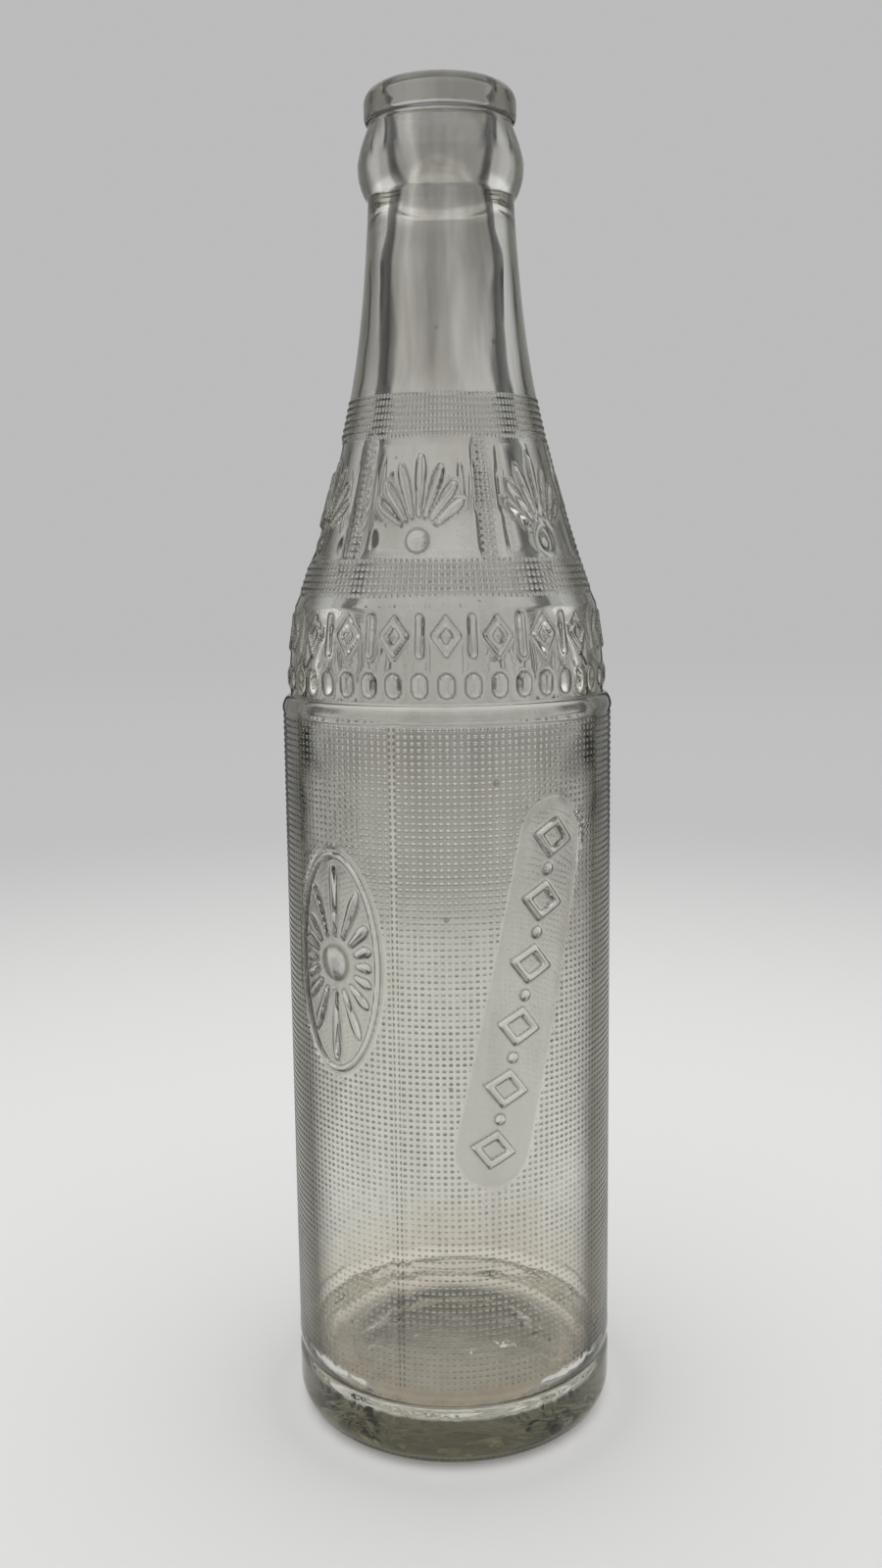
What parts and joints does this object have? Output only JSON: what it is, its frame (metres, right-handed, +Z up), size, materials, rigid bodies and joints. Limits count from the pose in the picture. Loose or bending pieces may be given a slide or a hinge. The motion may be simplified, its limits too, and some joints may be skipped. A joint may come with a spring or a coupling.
{
  "type": "soda water bottle",
  "caption": "Tall clear glass soda bottle with a crown lip, flaring panelled shoulder, stippled cylindrical body and a thick base, open and empty.",
  "frame": {"origin": "on the bottle's axis, at the level of the table that it stands on", "axes": "+Z up the axis towards the mouth, the pictured front faces -Y, +X to the right seen from the front"},
  "size_m": [0.0604, 0.0604, 0.2413],
  "materials": {
    "clear_glass": "clear moulded soda-lime glass with a faint olive grey tint, stippled on the body and fire-polished on the lip"
  },
  "bodies": {
    "root": {"lip_ring": "clear_glass", "finish_collar": "clear_glass", "neck": "clear_glass", "shoulder": "clear_glass", "panel_ribs": "clear_glass", "panel_fans": "clear_glass", "shoulder_band": "clear_glass", "band_lozenges": "clear_glass", "band_beads": "clear_glass", "body_wall": "clear_glass", "oval_rosette": "clear_glass", "slanted_lozenges": "clear_glass", "heel": "clear_glass", "base": "clear_glass"}
  },
  "joints": []
}
